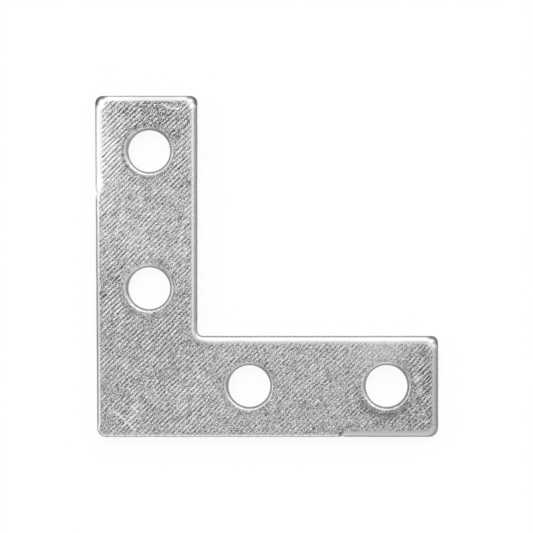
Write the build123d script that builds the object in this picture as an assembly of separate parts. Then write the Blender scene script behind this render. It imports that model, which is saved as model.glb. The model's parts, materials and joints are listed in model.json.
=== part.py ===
from build123d import *
import os

# Flat corner plate blanked from zinc-plated steel strip, in millimetres.
# The origin is where the two rows of holes cross, on the back face. X runs along the
# base leg, Y up the upright leg, and Z out of the front face.

# Sheet
thickness = 2.0

# Legs, measured over the outside of the L
base_length = 50.0
upright_length = 49.7
base_width = 14.7
upright_width = 14.9

# Holes, a row of two in each leg
hole_diameter = 6.1
base_row_inset = 7.4
upright_row_inset = 7.9
base_hole_pitch = 20.0
upright_hole_pitch = 20.0
base_end_distance = 7.5
upright_end_distance = 8.05

# Corner radii of the blank
heel_radius = 1.35
base_outer_radius = 1.3
base_inner_radius = 0.9
upright_inner_radius = 1.0
upright_outer_radius = 1.05
inside_corner_radius = 0.8

# The upright's outer edge isn't quite square: it runs in by this much at the heel
heel_run_in = 0.33

# The outer edges round the heel are a cut shared with the next blank of the strip. It
# stops short of the ends of the legs, and leaves a nick where it meets the other cut.
base_trim = 14.2
upright_trim = 14.25
nick_length = 1.2
base_nick_depth = 0.1
upright_nick_depth = 0.2

# The punch draws the edge down on the face that it enters: the front for the holes and
# most of the outline, and the back for the shared cut. This roll is a quarter of an
# ellipse, and fades out over its run-out at the nicks.
roll_width = 0.8
roll_depth = 0.4
roll_run_out = 0.8
roll_end_width = 0.08
roll_end_depth = 0.05
hole_roll_width = 0.45
hole_roll_depth = 0.55

# Tumbling breaks every edge, more on the front than on the back
front_break_width = 0.35
front_break_depth = 0.25
back_break_width = 0.15
back_break_depth = 0.12

# How far a cutting shape stands clear of the metal
clear = 0.3

# Places that follow from the sizes
left = -upright_row_inset
bottom = -base_row_inset
right = left + base_length
top = bottom + upright_length
inside_x = left + upright_width
inside_y = bottom + base_width
heel_x = left + heel_run_in
base_nick = (right - base_trim, bottom)
upright_nick = (left + heel_run_in * upright_trim / upright_length, top - upright_trim)

first_base_hole = right - base_end_distance
first_upright_hole = top - upright_end_distance
hole_centres = [
    (first_base_hole, 0),
    (first_base_hole - base_hole_pitch, 0),
    (0, first_upright_hole),
    (0, first_upright_hole - upright_hole_pitch),
]

# Corners and their radii, clockwise seen from the front, from nick to nick
blank_corners = [
    upright_nick,
    (left, top),
    (inside_x, top),
    (inside_x, inside_y),
    (right, inside_y),
    (right, bottom),
    base_nick,
]
blank_radii = [
    upright_outer_radius,
    upright_inner_radius,
    inside_corner_radius,
    base_inner_radius,
    base_outer_radius,
]
shared_corners = [base_nick, (heel_x, bottom), upright_nick]

# The turn from the direction of travel along an edge to the metal beside it. The front
# is travelled clockwise and the back the other way, so that a section stays upright.
front_turn = -90
back_turn = 90


def front_path(corners, radii, close=False):
    points = [(x, y, thickness) for x, y in corners]
    return FilletPolyline(*points, radius=radii, close=close)


def back_path(corners, radii, close=False):
    points = [(x, y, 0) for x, y in reversed(corners)]
    return FilletPolyline(*points, radius=radii[::-1], close=close)


def edge_section(path, position, turn, width, depth):
    """What a rolled or broken edge lacks, drawn across the path at a position on it."""
    direction = path % position
    into_metal = direction.rotate(Axis.Z, turn)
    corner = Pos(-clear, -clear) * Rectangle(
        width + clear, depth + clear, align=(Align.MIN, Align.MIN)
    )
    section = corner - Pos(width, depth) * Ellipse(width, depth)
    return Plane(origin=path @ position, x_dir=into_metal, z_dir=direction) * section


def broken_edge(path, turn, width, depth):
    return sweep(edge_section(path, 0, turn, width, depth), path=path)


def rolled_edge(path, turn):
    """The full roll, and at each end of it the stretch in which it fades."""
    run_out = roll_run_out / path.length
    start = edge_section(path, run_out, turn, roll_width, roll_depth)
    end = edge_section(path, 1 - run_out, turn, roll_width, roll_depth)
    before = edge_section(path, 0, turn, roll_end_width, roll_end_depth)
    after = edge_section(path, 1, turn, roll_end_width, roll_end_depth)
    rolled = sweep(start, path=path.trim(run_out, 1 - run_out))
    return [loft([before, start]), rolled, loft([end, after])]


def build_hole_cutter():
    """A round punch, with the roll that it draws on the front and the break behind."""
    radius = hole_diameter / 2
    front_rim = Edge.make_circle(radius, Plane((0, 0, thickness)))
    back_rim = Edge.make_circle(radius, Plane((0, 0, 0), z_dir=(0, 0, -1)))
    roll = edge_section(front_rim, 0, front_turn, hole_roll_width, hole_roll_depth)
    back = edge_section(back_rim, 0, back_turn, back_break_width, back_break_depth)
    punch = Pos(0, 0, thickness / 2) * Cylinder(radius, thickness + 2 * clear)
    return punch + revolve(roll, Axis.Z) + revolve(back, Axis.Z)


def nick_cutter(place, outward, depth):
    """A disc outside the edge that bites into it by a depth over the nick's length."""
    radius = (nick_length**2 / 4 + depth**2) / (2 * depth)
    centre = Vector(*place) + outward * (radius - depth)
    disc = Cylinder(radius, thickness + 2 * clear)
    return Pos(centre.X, centre.Y, thickness / 2) * disc


def build_plate():
    corners = blank_corners[1:-1] + [(heel_x, bottom)]
    radii = blank_radii + [heel_radius]
    front = front_path(corners, radii, close=True)
    back = back_path(corners, radii, close=True)
    cutters = [
        broken_edge(front, front_turn, front_break_width, front_break_depth),
        broken_edge(back, back_turn, back_break_width, back_break_depth),
        *rolled_edge(front_path(blank_corners, blank_radii), front_turn),
        *rolled_edge(back_path(shared_corners, [heel_radius]), back_turn),
        nick_cutter(upright_nick, Vector(-1, 0), upright_nick_depth),
        nick_cutter(base_nick, Vector(0, -1), base_nick_depth),
    ]
    hole_cutter = build_hole_cutter()
    cutters += [Pos(x, y) * hole_cutter for x, y in hole_centres]
    plate = extrude(make_face(front.edges()), thickness, dir=(0, 0, -1))
    for cutter in cutters:
        plate -= cutter
    return plate


angle_bracket = build_plate()
angle_bracket.label = "angle_bracket"
os.makedirs("parts", exist_ok=True)
export_step(angle_bracket, "parts/angle_bracket.step")
print("volume", round(angle_bracket.volume, 1), "valid", angle_bracket.is_valid)
print("size", angle_bracket.bounding_box().size, "solids", len(angle_bracket.solids()))
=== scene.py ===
import json
import math

import bpy
import numpy as np
from mathutils import Matrix, Vector
from mathutils.geometry import delaunay_2d_cdt

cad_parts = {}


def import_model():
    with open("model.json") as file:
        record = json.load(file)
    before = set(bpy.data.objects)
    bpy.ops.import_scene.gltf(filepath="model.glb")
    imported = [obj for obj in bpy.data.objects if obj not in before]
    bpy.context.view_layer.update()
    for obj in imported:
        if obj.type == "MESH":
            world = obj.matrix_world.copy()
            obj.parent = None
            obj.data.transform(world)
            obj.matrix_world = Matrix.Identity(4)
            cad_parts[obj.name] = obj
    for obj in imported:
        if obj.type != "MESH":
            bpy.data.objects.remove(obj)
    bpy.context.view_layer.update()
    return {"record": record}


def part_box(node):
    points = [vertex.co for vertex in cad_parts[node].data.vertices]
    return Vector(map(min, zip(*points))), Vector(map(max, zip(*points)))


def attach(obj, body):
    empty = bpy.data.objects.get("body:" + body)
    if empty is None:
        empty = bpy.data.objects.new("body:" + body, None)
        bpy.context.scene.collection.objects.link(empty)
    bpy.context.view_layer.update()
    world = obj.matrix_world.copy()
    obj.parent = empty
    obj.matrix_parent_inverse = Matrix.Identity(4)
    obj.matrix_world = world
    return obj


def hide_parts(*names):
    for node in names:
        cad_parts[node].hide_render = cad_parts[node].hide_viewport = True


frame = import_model()

# The plate is worked out in millimetres and turned into metres as its mesh is made
MM = 0.001
NODE = "angle_bracket"
SLOT = "zinc_plated_steel"
SEED = 7

# Reach of the plate and its holes, from the frame
low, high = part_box(NODE)
BOTTOM, BACK = low[1] / MM, low[2] / MM
RIGHT, TOP, FRONT = high[0] / MM, high[1] / MM, high[2] / MM
BORES = [m for m in frame["record"]["mounts"] if m["kind"] == "bore"]
HOLES = [(m["pos_m"][0] / MM, m["pos_m"][1] / MM) for m in BORES]
HOLE_RADIUS = BORES[0]["dims"]["r_mm"]

# Outline of the L, with its corners and their radii from the heel on, anticlockwise
BASE_LENGTH, BASE_WIDTH = 50.0, 14.7
UPRIGHT_LENGTH, UPRIGHT_WIDTH = 49.7, 14.9
HEEL_RUN_IN = 0.33
LEFT = RIGHT - BASE_LENGTH
INSIDE_X = LEFT + UPRIGHT_WIDTH
INSIDE_Y = BOTTOM + BASE_WIDTH
CORNERS = [
    (LEFT + HEEL_RUN_IN, BOTTOM, 1.35),
    (RIGHT, BOTTOM, 1.3),
    (RIGHT, INSIDE_Y, 0.9),
    (INSIDE_X, INSIDE_Y, 0.8),
    (INSIDE_X, TOP, 1.0),
    (LEFT, TOP, 1.05),
]

# The shared cut round the heel stops short of the ends of the legs, in a nick in each leg
BASE_TRIM, UPRIGHT_TRIM = 14.2, 14.25
BASE_NICK = (RIGHT - BASE_TRIM, BOTTOM)
UPRIGHT_NICK = (LEFT + HEEL_RUN_IN * UPRIGHT_TRIM / UPRIGHT_LENGTH, TOP - UPRIGHT_TRIM)
NICKS = [(UPRIGHT_NICK, 0.2), (BASE_NICK, 0.1)]
NICK_HALF_LENGTH = 0.6

# How deep the edge is rolled and how long the roll takes to fade at a nick. The broken
# edge behind and the roll of a hole are given as (width, depth).
ROLL_DEPTH = 0.42
ROLL_RUN_OUT = 0.8
BACK_BREAK = (0.15, 0.12)
HOLE_ROLL = (0.54, 0.60)

# The straight sides, from the one after the heel on: the width of the roll, the reach of
# the smooth metal over it, the height of the lip where it begins and the depth of its
# tail, and for a stretch without a roll the width and depth of the broken edge and the
# height of its burr. One side blends into the next over SIDE_BLEND, and the tail dies away
# over TAIL_REACH.
SIDES = np.array(
    [
        (0.85, 0.80, 0.000, 0.01, 0.20, 0.20, 0.014),
        (0.62, 0.80, 0.002, 0.03, 0.35, 0.25, 0.000),
        (0.85, 1.05, 0.000, 0.09, 0.35, 0.25, 0.000),
        (0.58, 0.77, 0.017, 0.01, 0.35, 0.25, 0.000),
        (0.80, 0.74, 0.000, 0.03, 0.35, 0.25, 0.000),
        (0.85, 0.95, 0.000, 0.06, 0.60, 0.52, 0.007),
    ]
)
SIDE_BLEND = 0.5
TAIL_REACH = 0.5

# A lip's width, and how much lighter a lip or burr is painted for each millimetre of its
# height, a painted highlight along its crest
LIP_WIDTH = 0.11
LIP_HIGHLIGHT = 13.0

# The burr lies at a share of the break's width, and its painted highlight is more uneven than
# its height. The smooth metal reaches BREAK_BAND further than a third of the break.
BURR_INSET, BURR_WIDTH = 0.72, 0.08
BURR_CONTRAST = 2.5
BREAK_BAND = 0.25

# Unevenness along the edge: its size, its longest and shortest wave and how many waves.
# The beads say how much higher or lower a lip or burr is from place to place.
WOBBLE = (0.012, 14, 1.5, 12)
WIDTH_WOBBLE = (0.06, 12, 1.2, 14)
BAND_WOBBLE = (0.07, 6, 0.4, 20)
BEADS = (0.7, 1.5, 0.45, 24)
LEAST_BEAD, GREATEST_BEAD = -1.0, 0.7

# The roll is deeper at the outer corners. There the face is also drawn down outside an arc
# of a larger radius: fully where that brings the edge CORNER_GAIN nearer, and less and
# less over CORNER_REACH from the edge.
CORNER_ROLL = 0.08
CORNER_SPREAD = 1.0
CORNER_ROUND = 2.2
CORNER_DROP = 0.52
CORNER_GAIN = 0.45
CORNER_REACH = 0.45

# The corners that are rolled on each face, by their index in CORNERS, and how dark each is
# painted, a painted shade over the drawn metal there. The shade reaches as far in as the reach
# below, and is full from the gain below on.
FRONT_CORNERS = {1: 0.0, 2: 0.26, 4: 0.40, 5: 0.54}
BACK_CORNERS = {0: 0.30}
CORNER_SHADE_REACH = 0.66
CORNER_SHADE_GAIN = 0.3

# The punch sat a little off centre in its die, so a hole's roll is widest on one side
HOLE_ROLL_LEAN = 0.03
HOLE_ROLL_AZIMUTH = math.radians(-45)

# Round a hole the face sinks a little. The smooth metal is narrow there, and ends in a low
# lip that is highest towards one azimuth and furthest out towards another.
HOLE_SINK, HOLE_SINK_REACH = 0.015, 0.5
HOLE_BAND, HOLE_BAND_LEAN = 0.42, 0.05
HOLE_LIP, HOLE_LIP_LEAST = 0.009, 0.3
HOLE_LIP_INSET, HOLE_LIP_LEAN, HOLE_LIP_WIDTH = 0.42, 0.11, 0.10
HOLE_LIP_AZIMUTH = math.radians(235)
HOLE_LIP_FAR = HOLE_LIP_AZIMUTH - 1.3
# The lip round a hole is painted lighter along its crest, a painted highlight, in lighter and
# darker spots
HOLE_LIP_HIGHLIGHT, HOLE_LIP_SPOTS = 0.04, 0.12

# Beside each hole the drawn metal has a painted highlight on one side, given by azimuth in
# degrees, reach and how much lighter it is, and further out an arc of painted shade, given by
# azimuth, inset, width, how much darker it is and how much more spotted the rim is there
HOLE_DRAWS = np.array(
    [
        (205, 0.95, 0.16, 252, 1.18, 0.55, 0.28, 0.0),
        (225, 0.65, 0.05, 250, 1.10, 0.40, 0.08, 0.0),
        (190, 0.60, 0.08, 190, 0.86, 0.20, 0.40, 0.6),
        (200, 0.80, 0.08, 240, 1.25, 0.35, 0.18, 0.3),
    ]
)

# How softly the painted highlights beside the holes end, how spotted they and the arcs of
# painted shade are, and how much of the grain goes with that shade
HIGHLIGHT_FADE, HIGHLIGHT_SPOTS = 0.3, 0.4
SHADE_SPOTS, SHADE_GRAIN = 0.25, 1.5

# Rings of painted highlight and painted shade round every hole: inset, width, the azimuth in
# degrees that each leans to, how narrowly it does (0 is not at all) and how much lighter it is
PAINTED_RIM_RINGS = [
    (0.15, 0.20, 160.5, 1, 0.12),
    (0.30, 0.22, 123.0, 2, -0.14),
    (0.38, 0.20, 321.0, 2, -0.26),
    (0.37, 0.15, 62.0, 6, 0.22),
    (0.50, 0.15, 177.7, 2, 0.18),
    (0.72, 0.30, 0.0, 0, -0.12),
]

# The grain fades in beyond the smooth metal, and its lines a little later round a hole
BAND_FADE = 0.2
HOLE_FADE = 0.15
LINE_FADE = 0.3

# The lines are weaker on the base leg, down by a share that is reached over a distance
BASE_LINE_LOSS, BASE_LINE_FADE = 0.3, 6.0

# The upper part of the left edge slopes away further in than its roll: how far, over what
# distance, and over what length above the nick this begins
LEFT_SLOPE, LEFT_SLOPE_REACH, LEFT_SLOPE_FADE = 0.22, 1.5, 3.0

# Height of the sheet's own slight waves
SHEET_WAVE = 0.004

# Sampling of the mesh. Rings follow the edge and the holes over the rolls and a little
# further in, and end where the flat begins.
EDGE_STEP = 0.2
ARC_STEP = math.radians(6)
HOLE_STEPS = 120
FRONT_STEPS = 12
BACK_STEPS = 6
WALL_STEPS = 8
HOLE_WALL_STEPS = 5
WIDEST_ROLL = 0.85
RING_END = 0.87
HOLE_RING_END = 0.9
BETWEEN_RINGS = (0.2, 0.45, 0.7)

# The flat is sampled finely across the grain and coarsely along it, clear of the rings
ALONG_STEP = 0.42
ACROSS_STEP = 0.106
GRID_JITTER = 0.3
GRID_GAP = 0.08

# How many points are compared with the outline at a time
PART_SIZE = 4000

# How the triangulation is asked for: only what lies inside the outer loop, with points
# closer than the tolerance taken as one
INSIDE_ONLY = 1
TOLERANCE = 1e-5

# The sheared wall: where its torn zone begins and ends, as shares of its height from the
# side of the punch, over what share it comes in, how slack it is and how uneven that is
TORN_FROM, TORN_TO, TORN_FADE = 0.35, 1.02, 0.2
TORN_SLACK = 0.03
RIDGES, RIDGE_SHARE = (3.0, 0.6, 16), 0.35
RAGS, RAG_SHARE = (2.0, 0.5, 16), 0.25

# Grain of the sheet: rolled-in lines that rise to the right, with the spread of their
# spacing as a share of it
GRAIN_ANGLE = math.radians(44.5)
LINE_PERIOD = 0.53
LINE_SPREAD = 0.06
LINE_LENGTH = 2.3
FRONT_LINE_HEIGHT = 0.015
BACK_LINE_HEIGHT = 0.008

# What the material reads from the mesh, point by point
# The tone layer carries the painted highlights and painted shade of the lips, burrs, corners,
# hole rims and spots, as well as patches lighter or darker from place to place
LAYERS = ("line", "strength", "grain", "tone", "wall")

rng = np.random.default_rng(SEED)


def waves(s, length, longest, shortest, count):
    """A smooth random curve of height about 1 along s, which closes on itself over length."""
    out = np.zeros_like(s)
    for turns in np.geomspace(length / longest, length / shortest, count).round():
        phase = rng.uniform(0, 2 * math.pi)
        out += rng.uniform(0.5, 1.0) * np.sin(2 * math.pi * turns * s / length + phase)
    return out / math.sqrt(count)


def smooth(t):
    t = np.clip(t, 0.0, 1.0)
    return t * t * (3 - 2 * t)


def bump(distance, width):
    return np.exp(-((distance / width) ** 2))


def lean(angle, azimuth):
    """1 towards the azimuth and 0 away from it."""
    return 0.5 + 0.5 * np.cos(angle - azimuth)


def along_grain(xy):
    """The points in axes that lie along and across the grain."""
    c, s = math.cos(GRAIN_ANGLE), math.sin(GRAIN_ANGLE)
    return xy @ np.array([[c, -s], [s, c]])


def grain_box():
    """The least and the greatest that the plate reaches along and across the grain."""
    corners = along_grain(np.array([(x, y) for x in (LEFT, RIGHT) for y in (BOTTOM, TOP)]))
    return corners.min(0), corners.max(0)


class Lines:
    """A random field of long, nearly even lines along the grain, of height about 1."""

    STEP = np.array((0.25, 0.05))
    EVENNESS = 0.35

    def __init__(self):
        least, greatest = grain_box()
        self.origin = least - 1
        count = np.ceil((greatest + 1 - self.origin) / self.STEP).astype(int)
        spectrum = rng.standard_normal(count) + 1j * rng.standard_normal(count)
        along = np.fft.fftfreq(count[0], self.STEP[0])[:, None]
        across = np.fft.fftfreq(count[1], self.STEP[1])[None, :]
        spectrum *= np.exp(-((2 * math.pi * LINE_LENGTH * along) ** 2) / 2)
        spectrum *= np.exp(-(((across * LINE_PERIOD - 1) / LINE_SPREAD) ** 2) / 2)
        # The size of this field is how strong the lines are, and its angle runs over them
        field = np.fft.ifft2(spectrum)
        strength = np.abs(field) / np.abs(field).mean()
        self.field = np.cos(np.angle(field)) * strength / (strength + self.EVENNESS)

    def at(self, xy):
        place = (along_grain(xy) - self.origin) / self.STEP
        cell = np.floor(place).astype(int)
        (i, j), (a, b) = cell.T, (place - cell).T
        f = self.field
        near = f[i, j] * (1 - b) + f[i, j + 1] * b
        far = f[i + 1, j] * (1 - b) + f[i + 1, j + 1] * b
        return near * (1 - a) + far * a


def outline():
    """Points round the L, anticlockwise from the front, their inward normals, how much
    each belongs to an outer corner and the side that it is on or before."""
    points, normals, corner, side_of = [], [], [], []
    count = len(CORNERS)
    ends = []
    for i, (x, y, radius) in enumerate(CORNERS):
        here = np.array((x, y))
        before = np.array(CORNERS[i - 1][:2])
        after = np.array(CORNERS[(i + 1) % count][:2])
        u = (here - before) / np.linalg.norm(here - before)
        v = (after - here) / np.linalg.norm(after - here)
        turn = math.atan2(u[0] * v[1] - u[1] * v[0], u @ v)
        start = math.atan2(u[0], -u[1])
        side = 1 if turn > 0 else -1
        inward = np.array((-u[1], u[0]))
        centre = here - u * radius * math.tan(abs(turn) / 2) + side * radius * inward
        angles = start + turn * np.linspace(0, 1, round(abs(turn) / ARC_STEP) + 1)
        normal = np.stack((np.cos(angles), np.sin(angles)), 1)
        ends.append((centre - side * radius * normal, normal, side > 0))
    for i, (arc, normal, outer) in enumerate(ends):
        points.append(arc)
        normals.append(normal)
        corner.append(np.full(len(arc), float(outer)))
        side_of.append(np.full(len(arc), i))
        following = ends[(i + 1) % count][0][0]
        steps = max(2, round(float(np.linalg.norm(following - arc[-1])) / EDGE_STEP))
        t = np.linspace(0, 1, steps + 1)[1:-1, None]
        points.append(arc[-1] * (1 - t) + following * t)
        normals.append(np.repeat(normal[-1:], len(t), 0))
        corner.append(np.zeros(len(t)))
        side_of.append(np.full(len(t), i))
    return [np.concatenate(parts) for parts in (points, normals, corner, side_of)]


def travelled(points):
    """How far along the closed outline each point lies, and its whole length."""
    steps = np.linalg.norm(np.roll(points, -1, 0) - points, axis=1)
    return np.concatenate(([0.0], np.cumsum(steps)[:-1])), float(steps.sum())


def nearest(points, target):
    return int(np.argmin(np.linalg.norm(points - np.array(target), axis=1)))


def nearest_on(points, xy):
    """For each of xy the nearest of points and the distance to it, in parts that fit in
    memory."""
    index, distance = [], []
    for part in np.array_split(xy, max(1, len(xy) // PART_SIZE)):
        gap = ((part[:, None, :] - points[None, :, :]) ** 2).sum(2)
        index.append(gap.argmin(1))
        distance.append(np.sqrt(gap.min(1)))
    return np.concatenate(index), np.concatenate(distance)


class Shape:
    """The edge of the plate with all that varies along it."""

    def __init__(self):
        self.points, self.normals, corner, side_of = outline()
        self.s, self.length = travelled(self.points)
        self.count = len(self.points)
        nicks = [self.s[nearest(self.points, place)] for place, _ in NICKS]
        self.corner = self.spread(corner, CORNER_SPREAD)
        # 1 on the stretches cut with the blank and 0 on the cut round the heel
        inside = (self.s > nicks[1]) & (self.s < nicks[0])
        gap = np.minimum(*(self.gap(n) for n in nicks))
        self.blank = np.where(inside, smooth(gap / ROLL_RUN_OUT), 0.0)
        self.shared = np.where(inside, 0.0, smooth(gap / ROLL_RUN_OUT))
        self.nick = np.zeros(self.count)
        for place, (_, depth) in zip(nicks, NICKS):
            self.nick += depth * smooth(1 - self.gap(place) / NICK_HALF_LENGTH)
        self.wobble = self.uneven(*WOBBLE)
        self.width_wobble = 1 + self.uneven(*WIDTH_WOBBLE)
        self.band_wobble = self.uneven(*BAND_WOBBLE)
        self.beads = 1 + np.clip(self.uneven(*BEADS), LEAST_BEAD, GREATEST_BEAD)
        # Each side's measures, blended into the next side's round the corner between them
        away = np.abs(self.s[:, None] - self.s[None, :])
        share = bump(np.minimum(away, self.length - away), SIDE_BLEND)
        measures = share / share.sum(1, keepdims=True) @ SIDES[side_of]
        self.roll_width, self.roll_band, self.lip, self.tail = measures[:, :4].T
        self.break_width, self.break_depth, self.burr = measures[:, 4:].T
        self.burr_at = BURR_INSET * self.break_width

    def uneven(self, size, *spectrum):
        return size * waves(self.s, self.length, *spectrum)

    def band(self, rolled):
        """How far the smooth metal reaches in, where rolled says how fully the edge is."""
        broken = BREAK_BAND + self.break_width / 3
        return broken + (self.roll_band - broken) * rolled + self.band_wobble

    def gap(self, place):
        """Distance along the edge to a place on it."""
        away = np.abs(self.s - place)
        return np.minimum(away, self.length - away)

    def spread(self, weight, reach):
        """The weight, fading over reach to either side along the edge."""
        marked = self.s[weight > 0]
        away = np.abs(self.s[:, None] - marked[None, :])
        away = np.minimum(away, self.length - away).min(1)
        return smooth(1 - away / reach)

    def front_roll(self):
        width = self.break_width + (self.roll_width - self.break_width) * self.blank
        depth = self.break_depth + (ROLL_DEPTH - self.break_depth) * self.blank
        width = np.minimum(width * self.width_wobble, WIDEST_ROLL)
        return width, depth + CORNER_ROLL * self.corner * self.blank

    def back_roll(self):
        width = BACK_BREAK[0] + (self.roll_width - BACK_BREAK[0]) * self.shared
        depth = BACK_BREAK[1] + (ROLL_DEPTH - BACK_BREAK[1]) * self.shared
        return width, depth + CORNER_ROLL * self.corner * self.shared

    def at(self, inset):
        """The edge, moved in by an inset that may differ from point to point."""
        fade = np.clip(1 - inset / RING_END, 0, 1)
        inset = inset + (self.nick + self.wobble) * fade
        return self.points + self.normals * inset[:, None]


def hole_lip(rim, turn):
    """The lip's profile round a hole, 1 on its crest."""
    crest = HOLE_LIP_INSET + HOLE_LIP_LEAN * np.cos(turn - HOLE_LIP_FAR)
    return bump(rim - crest, HOLE_LIP_WIDTH)


class Beads:
    """Random light and dark spots round a hole, of height about 1."""

    COUNT = 12

    def __init__(self):
        self.turns = rng.integers(12, 38, self.COUNT)
        self.phases = rng.uniform(0, 2 * math.pi, self.COUNT)

    def at(self, turn, hole):
        angles = turn[:, None] * self.turns + self.phases * (1 + hole[:, None])
        return np.sin(angles).sum(1) / math.sqrt(self.COUNT)


def corner_gain(xy, edge, rolled_corners):
    """How much nearer the edge lies where its corners are rounded to CORNER_ROUND, and how
    dark the corner is painted, a painted shade."""
    gain, painted_shade = np.zeros(len(xy)), np.zeros(len(xy))
    for i, corner_shade in rolled_corners.items():
        corner, before, after = (
            np.array(CORNERS[(i + step) % len(CORNERS)][:2]) for step in (0, -1, 1)
        )
        back = (before - corner) / np.linalg.norm(before - corner)
        onward = (after - corner) / np.linalg.norm(after - corner)
        centre = corner + CORNER_ROUND * (back + onward)
        outside = ((xy - centre) @ back < 0) & ((xy - centre) @ onward < 0)
        rounded = CORNER_ROUND - np.linalg.norm(xy - centre, axis=1)
        gain = np.where(outside, np.maximum(edge - rounded, 0), gain)
        painted_shade = np.where(outside, corner_shade, painted_shade)
    return gain, painted_shade


class Face:
    """The level of one face of the plate, and what its material needs to know. Rolled says
    how fully the edge is rolled towards this face, point by point."""

    def __init__(self, shape, rolled, corners, line_height, spots):
        self.shape, self.rolled, self.corners, self.spots = shape, rolled, corners, spots
        self.band = shape.band(rolled)
        self.line_height = line_height
        self.lines, self.beads = Lines(), Beads()

    def fall(self, xy, place, edge, gain, rim, turn):
        """How far the face lies under its level: the tail of the roll along the edge,
        the draw round each hole and the sheet's own slight waves. Lips stand over it."""
        x, y = xy[:, 0], xy[:, 1]
        shape, rolled = self.shape, self.rolled[place]
        fall = shape.tail[place] * np.exp(-edge / TAIL_REACH)
        lip, burr = (h * shape.beads for h in (shape.lip, shape.burr))
        fall -= lip[place] * rolled * bump(edge - gain - shape.roll_width[place], LIP_WIDTH)
        fall -= burr[place] * (1 - rolled) * bump(edge - shape.burr_at[place], BURR_WIDTH)
        fall += CORNER_DROP * smooth(gain / CORNER_GAIN) * np.exp(-edge / CORNER_REACH)
        fall += HOLE_SINK * np.exp(-rim / HOLE_SINK_REACH)
        high_side = HOLE_LIP_LEAST + (1 - HOLE_LIP_LEAST) * lean(turn, HOLE_LIP_AZIMUTH)
        fall -= HOLE_LIP * high_side * hole_lip(rim, turn)
        upper = smooth((y - UPRIGHT_NICK[1]) / LEFT_SLOPE_FADE)
        fall += LEFT_SLOPE * upper * np.exp(-(x - LEFT) / LEFT_SLOPE_REACH)
        wave = np.sin(x / 2.1 + 0.7 * np.sin(y / 3.3)) * np.sin(y / 2.7 + 0.4)
        return fall + SHEET_WAVE * wave

    def at(self, xy):
        """Height over the face's level and the material's layers."""
        x, y = xy[:, 0], xy[:, 1]
        shape = self.shape
        place, edge = nearest_on(shape.points, xy)
        gain, corner_shade = corner_gain(xy, edge, self.corners)
        hole, rim = nearest_on(np.array(HOLES), xy)
        rim -= HOLE_RADIUS
        turn = np.arctan2(y - np.array(HOLES)[hole, 1], x - np.array(HOLES)[hole, 0])
        hole_band = HOLE_BAND + HOLE_BAND_LEAN * np.cos(turn - HOLE_LIP_AZIMUTH)
        grain = smooth((edge - gain - self.band[place]) / BAND_FADE)
        grain *= smooth((rim - hole_band) / HOLE_FADE)
        # The lines fade out in the drawn metal round a hole, further out than the speckle
        highlight_to, reach, side_highlight, shade_to, shade_at, shade_width, painted_shade, spots = HOLE_DRAWS[hole].T
        shade_side = lean(turn, np.radians(shade_to))
        drawn = HOLE_BAND + HOLE_FADE + (shade_at - HOLE_BAND) * shade_side
        strength = grain * smooth((rim - drawn) / LINE_FADE)
        inset = edge - gain - shape.roll_width[place]
        # Lips and burrs are painted lighter along their crests, a painted highlight
        tone = LIP_HIGHLIGHT * (shape.lip * self.rolled)[place] * bump(inset, LIP_WIDTH)
        burr = shape.burr * (1 + BURR_CONTRAST * (shape.beads - 1)) * (1 - self.rolled)
        tone += LIP_HIGHLIGHT * burr[place] * bump(edge - shape.burr_at[place], BURR_WIDTH)
        # The rolled outer corners are painted darker, a painted shade
        tone -= corner_shade * smooth(gain / CORNER_SHADE_GAIN) * np.exp(-((edge / CORNER_SHADE_REACH) ** 4))
        beads = self.beads.at(turn, hole) * (1 + spots * shade_side**2)
        # A painted highlight along the lip round each hole
        tone += (HOLE_LIP_HIGHLIGHT + HOLE_LIP_SPOTS * beads) * hole_lip(rim, turn)
        # Rings of painted highlight and painted shade round each hole, stronger towards one
        # azimuth
        for ring_at, ring_width, azimuth, power, light in PAINTED_RIM_RINGS:
            side = lean(turn, math.radians(azimuth)) ** power
            tone += light * bump(rim - ring_at, ring_width) * side
        # A painted highlight on one side of each hole, and further out an arc of painted shade
        highlight_side = lean(turn, np.radians(highlight_to)) ** 2
        highlight_side *= smooth((reach - rim) / HIGHLIGHT_FADE + 0.5)
        tone += side_highlight * (1 + HIGHLIGHT_SPOTS * beads) * highlight_side
        shaded_arc = painted_shade * shade_side**2 * bump(rim - shade_at, shade_width)
        tone -= (1 - SHADE_SPOTS * beads) * shaded_arc
        line_share = 1 - BASE_LINE_LOSS * smooth((x - INSIDE_X) / BASE_LINE_FADE)
        speckle_share = np.ones(len(xy))
        # Spots of painted highlight and painted shade, and patches lighter or darker
        for sx, sy, reach_x, reach_y, light, more_lines, more_speckle in self.spots:
            amount = bump(x - sx, reach_x) * bump(y - sy, reach_y)
            tone += light * amount
            line_share += more_lines * amount
            speckle_share += more_speckle * amount
        line = self.lines.at(xy)
        strength *= np.maximum(line_share, 0)
        height = self.line_height * line * strength
        height -= self.fall(xy, place, edge, gain, rim, turn)
        grain *= speckle_share * (1 - SHADE_GRAIN * shaded_arc)
        layers = {"line": line, "strength": strength, "grain": grain, "tone": tone}
        return height, layers


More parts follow.
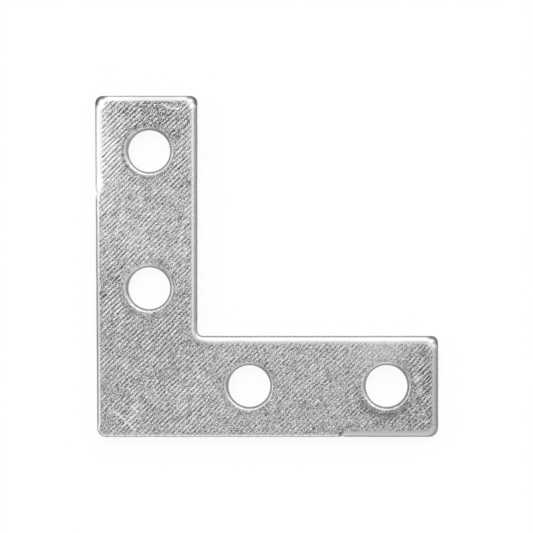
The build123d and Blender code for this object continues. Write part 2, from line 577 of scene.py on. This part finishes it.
class Builder:
    """Gathers vertices and faces of one closed mesh."""

    def __init__(self):
        self.vertices, self.faces, self.layers, self.count = [], [], [], 0

    def ring(self, xy, z, layers):
        count = len(xy)
        self.vertices.append(np.column_stack((xy, np.broadcast_to(z, count))))
        values = [np.broadcast_to(layers.get(name, 0.0), count) for name in LAYERS]
        self.layers.append(np.column_stack(values))
        self.count += count
        return np.arange(self.count - count, self.count)

    def bridge(self, a, b):
        """Quads between two rings of as many points, seen from the side where a runs
        anticlockwise outside b."""
        an, bn = np.roll(a, -1), np.roll(b, -1)
        self.faces += np.column_stack((a, an, bn, b)).tolist()

    def fill(self, outer, holes, free, flip):
        """Triangles between the outer ring and the hole rings, over free points."""
        order = np.concatenate([outer, *holes, free])
        flat = along_grain(np.concatenate(self.vertices)[order, :2])
        flat[:, 1] *= ALONG_STEP / ACROSS_STEP
        edges, owner, start = [], np.zeros(len(order), int), 0
        for number, ring in enumerate([outer, *holes]):
            loop = np.arange(start, start + len(ring))
            edges += np.column_stack((loop, np.roll(loop, -1))).tolist()
            owner[loop] = number
            start += len(ring)
        points = [Vector(p) for p in flat]
        cells = delaunay_2d_cdt(points, edges, [], INSIDE_ONLY, TOLERANCE)
        source = np.array([ids[0] for ids in cells[3]])[np.array(cells[2])]
        # A triangle across a hole has all its corners on that hole's ring
        across = (owner[source] > 0).all(1) & (np.ptp(owner[source], axis=1) == 0)
        triangles = order[source[~across]]
        self.faces += (triangles[:, ::-1] if flip else triangles).tolist()

    def mesh(self, name):
        mesh = bpy.data.meshes.new(name)
        mesh.from_pydata((np.concatenate(self.vertices) * MM).tolist(), [], self.faces)
        for layer, values in zip(LAYERS, np.concatenate(self.layers).T):
            mesh.attributes.new(layer, "FLOAT", "POINT").data.foreach_set("value", values)
        mesh.validate()
        mesh.shade_smooth()
        return mesh


def within(loop, xy):
    """Which of xy lie inside a closed loop, by counting crossings."""
    a, b = loop, np.roll(loop, -1, 0)
    inside = np.zeros(len(xy), bool)
    for (x0, y0), (x1, y1) in zip(a, b):
        if y0 == y1:
            continue
        spans = (xy[:, 1] > y0) != (xy[:, 1] > y1)
        inside ^= spans & (xy[:, 0] < x0 + (xy[:, 1] - y0) * (x1 - x0) / (y1 - y0))
    return inside


def free_points(shape):
    """A grid along the grain over the flat of the plate, clear of its rings."""
    (u0, v0), (u1, v1) = grain_box()
    u, v = np.meshgrid(np.arange(u0, u1, ALONG_STEP), np.arange(v0, v1, ACROSS_STEP))
    u = u + rng.uniform(-GRID_JITTER, GRID_JITTER, u.shape) * ALONG_STEP
    c, s = math.cos(GRAIN_ANGLE), math.sin(GRAIN_ANGLE)
    xy = np.column_stack((u.ravel() * c - v.ravel() * s, u.ravel() * s + v.ravel() * c))
    near = (xy[:, 0] > LEFT) & (xy[:, 0] < RIGHT) & (xy[:, 1] > BOTTOM) & (xy[:, 1] < TOP)
    xy = xy[near & ((xy[:, 0] < INSIDE_X) | (xy[:, 1] < INSIDE_Y))]
    keep = within(shape.at(np.full(shape.count, RING_END)), xy)
    keep &= nearest_on(shape.points, xy)[1] > RING_END + GRID_GAP
    for hx, hy in HOLES:
        away = np.hypot(xy[:, 0] - hx, xy[:, 1] - hy)
        keep &= away > HOLE_RADIUS + HOLE_RING_END + GRID_GAP
    return xy[keep]


# Places where the metal is painted lighter or darker: x, y, reach in each, and how much
# lighter it is there and how much stronger its lines and its speckle are. Along the edges, in
# the nicks and at the corners of the front these are painted highlights and painted shade; the
# broad patches and the small spots make the face lighter or darker from place to place.
FRONT_SPOTS = [
    # Along the edges, in the nicks and at the corners: painted highlights where lighter,
    # painted shade where darker
    (LEFT, TOP - 8.0, 4.5, 8.0, 0.36, 0.9, -0.2),
    (LEFT, TOP - 8.0, 1.8, 7.0, 0.10, 0.0, 0.0),
    (LEFT + 0.1, TOP - 6.0, 0.25, 8.0, -0.25, 0.0, 0.0),
    (LEFT + 0.5, 12.0, 0.35, 14.0, -0.18, 0.0, 0.0),
    (27.8, BOTTOM + 0.35, 0.2, 0.45, -0.6, 0.0, 0.0),
    (-6.3, -5.0, 1.1, 1.3, -0.08, -0.8, -0.1),
    (LEFT + 0.2, UPRIGHT_NICK[1] + 0.1, 0.5, 0.7, 0.9, 0.0, 0.0),
    (INSIDE_X - 1.1, TOP - 1.1, 0.5, 0.5, 0.3, 0.0, 0.0),
    (RIGHT - 1.1, INSIDE_Y - 1.0, 0.6, 0.6, 0.20, 0.0, 0.0),
    (INSIDE_X - 0.95, TOP - 4.0, 0.35, 6.0, 0.20, 0.0, 0.0),
    (INSIDE_X - 0.4, INSIDE_Y + 1.2, 0.35, 0.6, 0.50, 0.0, 0.0),
    (LEFT + 0.35, UPRIGHT_NICK[1] - 1.0, 0.25, 0.6, -0.20, 0.0, 0.0),
    # Broad patches and small spots, lighter or darker from place to place
    (0.0, 21.0, 8.0, 8.0, 0.11, 0.1, 0.0),
    (0.0, TOP - 2.5, 7.0, 2.8, -0.15, 0.2, 0.5),
    (5.2, 33.0, 2.0, 6.0, 0.03, 0.4, 0.1),
    (-5.2, 14.3, 2.0, 4.0, -0.05, 0.7, 0.1),
    (2.0, 8.0, 6.0, 3.0, -0.06, 0.1, 0.0),
    (8.6, -0.5, 3.0, 6.0, 0.03, 0.0, 0.0),
    (14.6, -5.5, 4.0, 1.6, -0.03, -0.2, 0.15),
    (31.0, -3.2, 2.6, 2.0, -0.05, 0.0, 0.0),
    (34.0, 5.0, 4.0, 1.8, 0.15, -0.3, -0.4),
    (36.0, -5.0, 7.0, 2.6, -0.09, -0.1, 0.1),
    (40.0, 1.0, 2.5, 6.0, -0.06, 0.9, 0.0),
    (RIGHT - 0.8, 0.0, 0.4, 6.0, -0.05, 0.0, 0.0),
    (38.9, 0.9, 0.4, 0.5, 0.35, -0.8, -0.4),
    (39.4, -0.7, 0.35, 0.7, 0.35, -0.8, -0.4),
    (-4.1, 38.5, 0.8, 0.7, 0.15, -0.4, 0.0),
    (4.2, 33.6, 0.8, 0.5, 0.12, -0.3, 0.0),
    (-2.0, -3.3, 0.5, 0.5, 0.18, -0.5, 0.3),
    (4.5, -2.7, 0.5, 0.6, 0.18, -0.4, 0.2),
    (-2.7, 21.1, 0.5, 0.6, 0.16, -0.6, 0.0),
    (-4.4, 22.6, 1.0, 0.5, 0.07, -0.4, 0.0),
    (-2.6, 10.8, 0.6, 0.5, -0.10, -0.3, -0.2),
    (-6.3, 6.7, 1.3, 1.2, -0.09, -0.4, 0.0),
]
BACK_SPOTS = [
    (4.0, 30.0, 7.0, 9.0, 0.04, 0.0, 0.0),
    (28.0, 2.0, 9.0, 5.0, -0.04, 0.0, 0.0),
]

# Hair scratches on the front: start, middle, end, half width and how bright each is
SCRATCHES = [
    ((1.81, 41.26), (3.12, 40.45), (4.79, 40.62), 0.20, 1.5),
    ((-2.35, -3.00), (-2.08, -3.42), (-1.66, -3.80), 0.21, 1.6),
    ((-3.31, -5.23), (-2.68, -5.75), (-2.00, -6.65), 0.21, 1.6),
    ((-4.03, -6.00), (-2.88, -5.06), (-1.86, -4.09), 0.19, 1.4),
    ((-5.26, -3.68), (-4.31, -4.24), (-3.31, -5.23), 0.21, 1.4),
]


def build_plate_mesh():
    shape = Shape()
    build = Builder()
    turn = np.linspace(0, 2 * math.pi, HOLE_STEPS, endpoint=False)
    circle = np.column_stack((np.cos(turn), np.sin(turn)))
    grid = free_points(shape)

    def make_face(face, level, side, roll, hole_roll, steps):
        """One face of the plate: its rolled edge, its holes' rims and its flat."""
        width, depth = roll
        angles = np.linspace(0, math.pi / 2, steps + 1)

        def lay(xy, drop=0.0):
            height, layers = face.at(xy)
            return build.ring(xy, level + side * (height - drop), layers)

        rings = [
            lay(shape.at(width * (1 - math.cos(a))), depth * (1 - math.sin(a))) for a in angles
        ]
        for share in (*BETWEEN_RINGS, 1):
            rings.append(lay(shape.at(width + (RING_END - width) * share)))
        for outer, inner in zip(rings, rings[1:]):
            build.bridge(*((outer, inner) if side > 0 else (inner, outer)))
        rims, seams = [], []
        widest = 1 + HOLE_ROLL_LEAN * np.cos(turn - HOLE_ROLL_AZIMUTH)
        for centre in HOLES:
            insets = [hole_roll[0] * (1 - math.cos(a)) * widest for a in angles]
            drops = [hole_roll[1] * (1 - math.sin(a)) * widest for a in angles]
            for share in (*BETWEEN_RINGS, 1):
                insets.append(insets[steps] * (1 - share) + HOLE_RING_END * share)
                drops.append(0.0)
            hole = [
                lay(centre + circle * (HOLE_RADIUS + inset)[:, None], drop)
                for inset, drop in zip(insets, drops)
            ]
            for inner, outer in zip(hole, hole[1:]):
                build.bridge(*((outer, inner) if side > 0 else (inner, outer)))
            rims.append(hole[0])
            seams.append(hole[-1])
        build.fill(rings[-1], seams, lay(grid), side < 0)
        return rings[0], rims

    front = Face(shape, shape.blank, FRONT_CORNERS, FRONT_LINE_HEIGHT, FRONT_SPOTS)
    back = Face(shape, shape.shared, BACK_CORNERS, BACK_LINE_HEIGHT, BACK_SPOTS)
    front_edge, front_rims = make_face(
        front, FRONT, 1, shape.front_roll(), HOLE_ROLL, FRONT_STEPS
    )
    back_edge, back_rims = make_face(back, BACK, -1, shape.back_roll(), BACK_BREAK, BACK_STEPS)

    def wall(upper, lower, inward, torn, steps):
        """Rings down the sheared wall between two rims. The cut is smooth where the
        punch entered, and torn and a little slack beyond."""
        vertices = np.concatenate(build.vertices)
        top, bottom = vertices[upper], vertices[lower]
        count = len(upper)
        s = np.arange(count) * EDGE_STEP
        ridges = RIDGE_SHARE * waves(s, count * EDGE_STEP, *RIDGES)
        rings = [upper]
        for t in np.linspace(0, 1, steps + 2)[1:-1]:
            place = top * (1 - t) + bottom * t
            depth = t * torn + (1 - t) * (1 - torn)
            tear = smooth((depth - TORN_FROM) / TORN_FADE)
            tear *= smooth((TORN_TO - depth) / TORN_FADE)
            ragged = RAG_SHARE * waves(s, count * EDGE_STEP, *RAGS)
            inset = TORN_SLACK * tear * (1 + ridges + ragged)
            xy = place[:, :2] + inward * inset[:, None]
            rings.append(build.ring(xy, place[:, 2], {"wall": 0.5 + 0.5 * tear}))
        rings.append(lower)
        return rings

    torn_low = smooth(shape.blank - shape.shared + 0.5)
    rings = wall(front_edge, back_edge, shape.normals, torn_low, WALL_STEPS)
    for upper, lower in zip(rings, rings[1:]):
        build.bridge(lower, upper)
    for front_rim, back_rim in zip(front_rims, back_rims):
        rings = wall(front_rim, back_rim, circle, np.ones(HOLE_STEPS), HOLE_WALL_STEPS)
        for upper, lower in zip(rings, rings[1:]):
            build.bridge(upper, lower)
    return build.mesh(NODE)


mesh = build_plate_mesh()
plate = bpy.data.objects.new("plate", mesh)
bpy.context.scene.collection.objects.link(plate)
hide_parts(NODE)
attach(plate, "root")
print("triangles", sum(len(p.vertices) - 2 for p in mesh.polygons))


class Nodes:
    """Short calls for building a node tree."""

    def __init__(self, tree):
        self.tree = tree
        tree.nodes.clear()

    def add(self, kind, settings=None, **inputs):
        node = self.tree.nodes.new(kind)
        for name, value in (settings or {}).items():
            setattr(node, name, value)
        for name, value in inputs.items():
            self.put(node.inputs[name], value)
        return node

    def put(self, socket, value):
        if isinstance(value, bpy.types.NodeSocket):
            self.tree.links.new(value, socket)
        elif value is not None:
            socket.default_value = value

    def math(self, operation, a, b=None, c=None, clamp=False):
        node = self.tree.nodes.new("ShaderNodeMath")
        node.operation, node.use_clamp = operation, clamp
        for socket, value in zip(node.inputs, (a, b, c)):
            self.put(socket, value)
        return node.outputs[0]

    def range(self, value, from_low, from_high, to_low, to_high):
        node = self.tree.nodes.new("ShaderNodeMapRange")
        node.interpolation_type = "SMOOTHSTEP"
        for socket, number in zip(node.inputs, (value, from_low, from_high, to_low, to_high)):
            self.put(socket, number)
        return node.outputs[0]

    def mix(self, share, a, b):
        node = self.tree.nodes.new("ShaderNodeMix")
        for name, value in (("Factor", share), ("A", a), ("B", b)):
            self.put(node.inputs[name], value)
        return node.outputs["Result"]

    def layer(self, name):
        return self.add("ShaderNodeAttribute", {"attribute_name": name}).outputs["Fac"]


# Lightness of the metal, from 0 to 1: on the grained face, in a scratch, on the smooth bands,
# where a roll is steep, which is a painted shade along the outline, and on the sheared walls,
# and the least and the most
FACE_TONE = 0.65
SCRATCH_TONE = 0.98
BAND_TONE = 0.84
STEEP_SHADE_TONE = 0.38
WALL_TONE = 0.42
LEAST_TONE, MOST_TONE = 0.12, 0.98
ZINC_TINT = (0.995, 0.998, 1.0)

# How much lighter each thing makes the metal; on the crests and in the sparkle this is painted
# highlight
CREST_HIGHLIGHT = 0.68
STREAK_LIGHT = 1.15
FINE_LIGHT = 1.65
COARSE_LIGHT = 0.35
SPARKLE_GLINT = 0.8
FACE_MOTTLE, BAND_MOTTLE = 0.12, 0.10
SCORE_LIGHT = 0.3

# The lines of the grain have narrow crests, whose mean height is taken off again
CREST_POWER = 3.0
CREST_MEAN = 0.31

# How much of the vertices' tone is left where a roll is steep, and the upward part of the
# normal at which the metal is wholly steep and not at all
STEEP_SHARE = 0.5
STEEP_AT, LEVEL_AT = 0.55, 0.90

# Noise in the metal: how long its features are along the grain, wide across it and high,
# in mm, its detail and its seed
NOISES = {
    "streaks": (1.6, 0.10, 1.5, 0.0, 5.7),
    "fine": (0.17, 0.13, 1.5, 0.0, 3.1),
    "coarse": (0.5, 0.3, 1.5, 1.0, 8.3),
    "sparkle": (0.3, 0.22, 1.5, 1.0, 13.9),
    "mottle": (3.0, 2.2, 3.0, 2.0, 21.0),
    "scores": (0.25, 0.25, 3.0, 2.0, 31.0),
    "pits": (0.2, 0.2, 0.2, 2.0, 37.0),
}
SPARKLE_FROM, SPARKLE_TO = 0.61, 0.74

# A scratch fades out between these shares of half its length, and only the front has any
SCRATCH_FADE = (0.8, 1.15)
SCRATCH_LEVELS = (0.5, 0.8)

# Relief of 1 is so high in mm, and so high in that scale are the scratches and the pits
RELIEF = 0.01
SCRATCH_RELIEF = 1.0
PIT_RELIEF = 4.0
FACE_ROUGHNESS, WALL_ROUGHNESS = 0.28, 0.6


def zinc_material():
    material = bpy.data.materials.new(SLOT)
    material.use_nodes = True
    n = Nodes(material.node_tree)
    where = n.add("ShaderNodeTexCoord")
    turned = n.add("ShaderNodeVectorRotate", {"rotation_type": "Z_AXIS"})
    n.put(turned.inputs["Vector"], where.outputs["Object"])
    n.put(turned.inputs["Angle"], -GRAIN_ANGLE)
    flat = n.add("ShaderNodeVectorMath", {"operation": "MULTIPLY"})
    n.put(flat.inputs[0], where.outputs["Object"])
    flat.inputs[1].default_value = (1, 1, 0)
    line, strength, grain, tone, wall = (n.layer(name) for name in LAYERS)

    def noise(name):
        """The noise of that name, from 0 to 1 with a mean of a half."""
        *size, detail, seed = NOISES[name]
        scale = n.add("ShaderNodeVectorMath", {"operation": "MULTIPLY_ADD"})
        n.put(scale.inputs[0], turned.outputs[0])
        scale.inputs[1].default_value = [1 / (measure * MM) for measure in size]
        scale.inputs[2].default_value = (seed, seed * 1.7, seed * 0.3)
        texture = n.add("ShaderNodeTexNoise", Scale=1.0, Detail=detail)
        n.put(texture.inputs["Vector"], scale.outputs[0])
        return texture.outputs["Fac"]

    def even_noise(name):
        return n.math("SUBTRACT", noise(name), 0.5)

    def distance_to(x, y):
        """Distance from a point of the plan, which is given in mm."""
        node = n.add("ShaderNodeVectorMath", {"operation": "DISTANCE"})
        n.put(node.inputs[0], flat.outputs[0])
        node.inputs[1].default_value = (x * MM, y * MM, 0)
        return node.outputs["Value"]

    def scratch(start, middle, end, half_width, bright):
        """A bright arc through three points of the front."""
        (x0, y0), (x1, y1), (x2, y2) = start, middle, end
        chords = np.array([(x1 - x0, y1 - y0), (x2 - x0, y2 - y0)])
        from_start = np.linalg.solve(chords, (chords**2).sum(1) / 2)
        radius = float(np.hypot(*from_start))
        reach = float(np.hypot(*chords[1])) / 2
        off = n.math("SUBTRACT", distance_to(*(from_start + start)), radius * MM)
        on_arc = n.range(n.math("ABSOLUTE", off), 0.0, half_width * MM, bright, 0.0)
        from_middle = distance_to((x0 + x2) / 2, (y0 + y2) / 2)
        ends = [share * reach * MM for share in SCRATCH_FADE]
        return n.math("MULTIPLY", on_arc, n.range(from_middle, *ends, 1.0, 0.0))

    # Narrow crests on the lines, painted lighter as a highlight, finer streaks between them,
    # and speckle with painted glints over both
    crest = n.math("POWER", n.math("MULTIPLY_ADD", line, 0.5, 0.5), CREST_POWER)
    crest = n.math("SUBTRACT", crest, CREST_MEAN)
    streaks = n.math("MULTIPLY", even_noise("streaks"), STREAK_LIGHT)
    lines = n.math("MULTIPLY_ADD", crest, CREST_HIGHLIGHT, streaks)
    lines = n.math("MULTIPLY", lines, strength)
    sparkle = n.range(noise("sparkle"), SPARKLE_FROM, SPARKLE_TO, 0.0, SPARKLE_GLINT)
    speckle = n.math("MULTIPLY_ADD", even_noise("coarse"), COARSE_LIGHT, sparkle)
    speckle = n.math("MULTIPLY_ADD", even_noise("fine"), FINE_LIGHT, speckle)
    texture = n.math("MULTIPLY_ADD", speckle, grain, lines)

    position = n.add("ShaderNodeSeparateXYZ")
    n.put(position.inputs[0], where.outputs["Object"])
    levels = [share * FRONT * MM for share in SCRATCH_LEVELS]
    in_front = n.range(position.outputs["Z"], *levels, 0.0, 1.0)
    scratches = 0.0
    for one in SCRATCHES:
        scratches = n.math("ADD", scratch(*one), scratches)
    scratches = n.math("MULTIPLY", scratches, in_front, clamp=True)

    mottle = even_noise("mottle")
    face_tone = n.math("ADD", n.math("MULTIPLY_ADD", mottle, FACE_MOTTLE, tone), FACE_TONE)
    face_tone = n.mix(scratches, n.math("ADD", face_tone, texture), SCRATCH_TONE)
    band_tone = n.math("ADD", n.math("MULTIPLY_ADD", mottle, BAND_MOTTLE, tone), BAND_TONE)
    value = n.mix(n.range(grain, 0.0, 0.6, 0.0, 1.0), band_tone, face_tone)

    # Steep parts of the rolls are painted darker, a painted shade along the outline, and the
    # sheared walls are duller. The wall layer is 0 on the faces, a half on the smooth part of
    # a wall and 1 on its torn part.
    normal = n.add("ShaderNodeSeparateXYZ")
    n.put(normal.inputs[0], where.outputs["Normal"])
    steep = n.range(n.math("ABSOLUTE", normal.outputs["Z"]), STEEP_AT, LEVEL_AT, 1.0, 0.0)
    value = n.mix(steep, value, n.math("MULTIPLY_ADD", tone, STEEP_SHARE, STEEP_SHADE_TONE))
    pits = noise("pits")
    torn = n.range(wall, 0.5, 1.0, 0.0, 1.0)
    cut_tone = n.math("MULTIPLY_ADD", noise("scores"), SCORE_LIGHT, WALL_TONE)
    value = n.mix(n.range(wall, 0.0, 0.5, 0.0, 1.0), value, n.mix(torn, cut_tone, pits))
    value = n.math("MINIMUM", n.math("MAXIMUM", value, LEAST_TONE), MOST_TONE)

    colour = n.add("ShaderNodeCombineColor")
    for socket, share in zip(colour.inputs, ZINC_TINT):
        n.put(socket, n.math("MULTIPLY", value, share))

    relief = n.mix(scratches, texture, SCRATCH_RELIEF)
    relief = n.math("MULTIPLY_ADD", n.math("MULTIPLY", pits, torn), PIT_RELIEF, relief)
    raised = n.add("ShaderNodeBump", Strength=1.0, Distance=RELIEF * MM, Height=relief)

    shader = n.add("ShaderNodeBsdfPrincipled", Metallic=1.0)
    n.put(shader.inputs["Base Color"], colour.outputs[0])
    roughness = n.mix(n.math("MAXIMUM", steep, torn), FACE_ROUGHNESS, WALL_ROUGHNESS)
    n.put(shader.inputs["Roughness"], roughness)
    n.put(shader.inputs["Normal"], raised.outputs[0])
    out = n.add("ShaderNodeOutputMaterial")
    n.put(out.inputs["Surface"], shader.outputs[0])
    return material


mesh.materials.append(zinc_material())


# The floor, in metres. It is matt, and glows white by a share where the camera or a
# reflection sees it.
FLOOR_SIZE = 6.0
FLOOR_GAP = 0.00002
FLOOR_GREY = 0.8
FLOOR_GLOW, FLOOR_GLOW_SHARE = 1.1, 0.8


def floor():
    bpy.ops.mesh.primitive_plane_add(size=FLOOR_SIZE, location=(0, 0, low[2] - FLOOR_GAP))
    plane = bpy.context.object
    plane.name = "floor"
    material = bpy.data.materials.new("floor_white")
    material.use_nodes = True
    n = Nodes(material.node_tree)
    path = n.add("ShaderNodeLightPath")
    seen = n.math("ADD", path.outputs["Is Camera Ray"], path.outputs["Is Glossy Ray"])
    seen = n.math("ADD", seen, path.outputs["Is Transmission Ray"], clamp=True)
    matt = n.add("ShaderNodeBsdfDiffuse", Color=(FLOOR_GREY,) * 3 + (1.0,))
    glow = n.add("ShaderNodeEmission", Strength=FLOOR_GLOW)
    both = n.add("ShaderNodeMixShader")
    n.put(both.inputs[0], n.math("MULTIPLY", seen, FLOOR_GLOW_SHARE))
    n.put(both.inputs[1], matt.outputs[0])
    n.put(both.inputs[2], glow.outputs[0])
    out = n.add("ShaderNodeOutputMaterial")
    n.put(out.inputs["Surface"], both.outputs[0])
    plane.data.materials.append(material)


floor()


# The studio is a soft dome. Its light rises towards the upper left of the photograph, from
# dim to bright between two shares of that direction, and falls off at the horizon, between
# two heights.
DOME_TOWARDS = (-0.33, 0.92, 0.0)
DOME_RISE = (-0.3, 0.45)
DOME_DIM, DOME_BRIGHT = 0.42, 1.6
HORIZON_RISE = (0.1, 0.5)
HORIZON_SHARE = 0.3


def world():
    made = bpy.data.worlds.new("studio")
    bpy.context.scene.world = made
    made.use_nodes = True
    n = Nodes(made.node_tree)
    where = n.add("ShaderNodeTexCoord")
    side = n.add("ShaderNodeVectorMath", {"operation": "DOT_PRODUCT"})
    n.put(side.inputs[0], where.outputs["Generated"])
    side.inputs[1].default_value = DOME_TOWARDS
    dome = n.range(side.outputs["Value"], *DOME_RISE, DOME_DIM, DOME_BRIGHT)
    axes = n.add("ShaderNodeSeparateXYZ")
    n.put(axes.inputs[0], where.outputs["Generated"])
    horizon = n.range(axes.outputs["Z"], *HORIZON_RISE, HORIZON_SHARE, 1.0)
    dome = n.math("MULTIPLY", dome, horizon)
    path = n.add("ShaderNodeLightPath")
    light = n.add("ShaderNodeBackground")
    n.put(light.inputs["Strength"], n.mix(path.outputs["Is Camera Ray"], dome, 1.0))
    out = n.add("ShaderNodeOutputWorld")
    n.put(out.inputs["Surface"], light.outputs[0])


world()

# The middle of the photograph, as a point on the plate, and the width that it shows
VIEW_CENTRE = (17.09 * MM, 17.43 * MM)
VIEW_WIDTH = 77.6 * MM
CAMERA_HEIGHT = 0.6
SENSOR = 36.0

# Soft boxes: azimuth from +X and angle from straight up in degrees, distance in metres,
# size across the azimuth and along it, and radiance
PANELS = {
    "panel_front": (290, 38, 0.9, (0.7, 0.7), 0.4),
    "panel_low": (290, 77, 0.9, (1.9, 0.35), 0.47),
}


def panel(name, azimuth, zenith, distance, size, radiance):
    """A soft box that faces the middle of the view."""
    data = bpy.data.lights.new(name, "AREA")
    data.shape, data.size, data.size_y = "RECTANGLE", *size
    data.energy = radiance * math.pi * size[0] * size[1]
    lamp = bpy.data.objects.new(name, data)
    az, ze = math.radians(azimuth), math.radians(zenith)
    way = Vector((math.cos(az) * math.sin(ze), math.sin(az) * math.sin(ze), math.cos(ze)))
    lamp.location = Vector((*VIEW_CENTRE, 0)) + way * distance
    across = Vector((-math.sin(az), math.cos(az), 0))
    axes = (across, way.cross(across), way)
    lamp.rotation_euler = Matrix(axes).transposed().to_euler()
    lamp.visible_camera = False
    bpy.context.scene.collection.objects.link(lamp)


for box_name, settings in PANELS.items():
    panel(box_name, *settings)


def camera():
    data = bpy.data.cameras.new("camera")
    data.sensor_width = SENSOR
    data.lens = SENSOR * CAMERA_HEIGHT / VIEW_WIDTH
    made = bpy.data.objects.new("camera", data)
    made.location = (*VIEW_CENTRE, high[2] + CAMERA_HEIGHT)
    bpy.context.scene.collection.objects.link(made)
    bpy.context.scene.camera = made


camera()
bpy.context.scene.view_settings.view_transform = "Standard"
